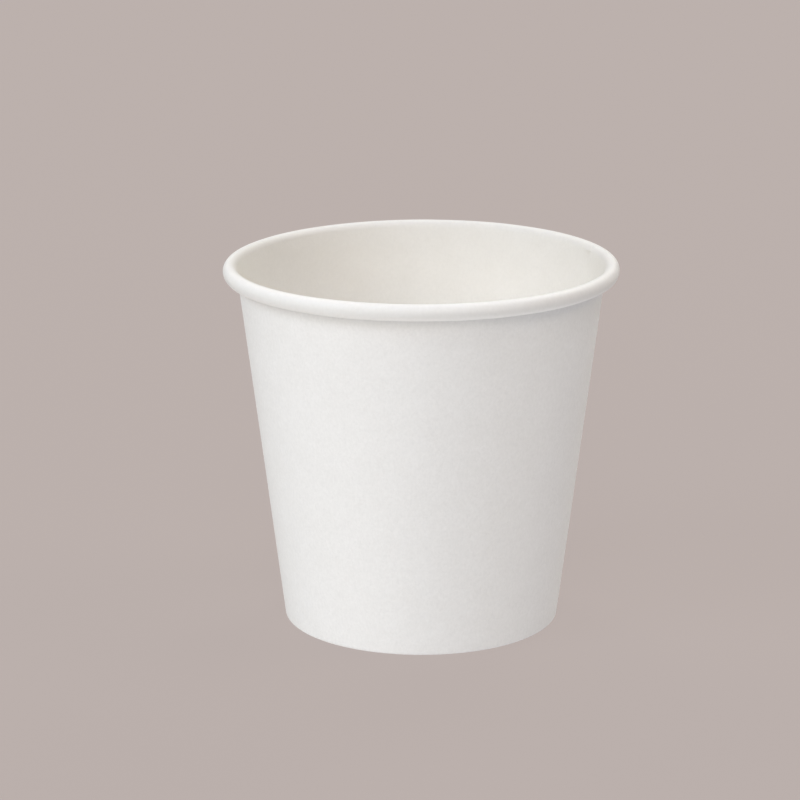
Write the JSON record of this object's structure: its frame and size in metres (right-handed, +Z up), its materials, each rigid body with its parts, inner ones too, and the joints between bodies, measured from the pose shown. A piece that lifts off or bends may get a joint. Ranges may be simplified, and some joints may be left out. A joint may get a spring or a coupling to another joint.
{
  "type": "paper cup",
  "caption": "Tapered espresso-size paper cup with a rolled rim, a lapped side seam and a recessed bottom disc held in a folded foot.",
  "frame": {"origin": "the cup's axis at the standing plane", "axes": "+Z up the cup's axis, out of its mouth, and the cup is round about it but for its side seam; -Y towards the picture's view; the side seam is just behind +X"},
  "size_m": [0.062, 0.062, 0.0577],
  "materials": {
    "board": "matt white uncoated outside, satin film-coated inside",
    "bottom_board": "satin film-coated on top, matt underneath"
  },
  "bodies": {
    "root": {"sidewall": "board", "bottom_disc": "bottom_board"}
  },
  "joints": []
}
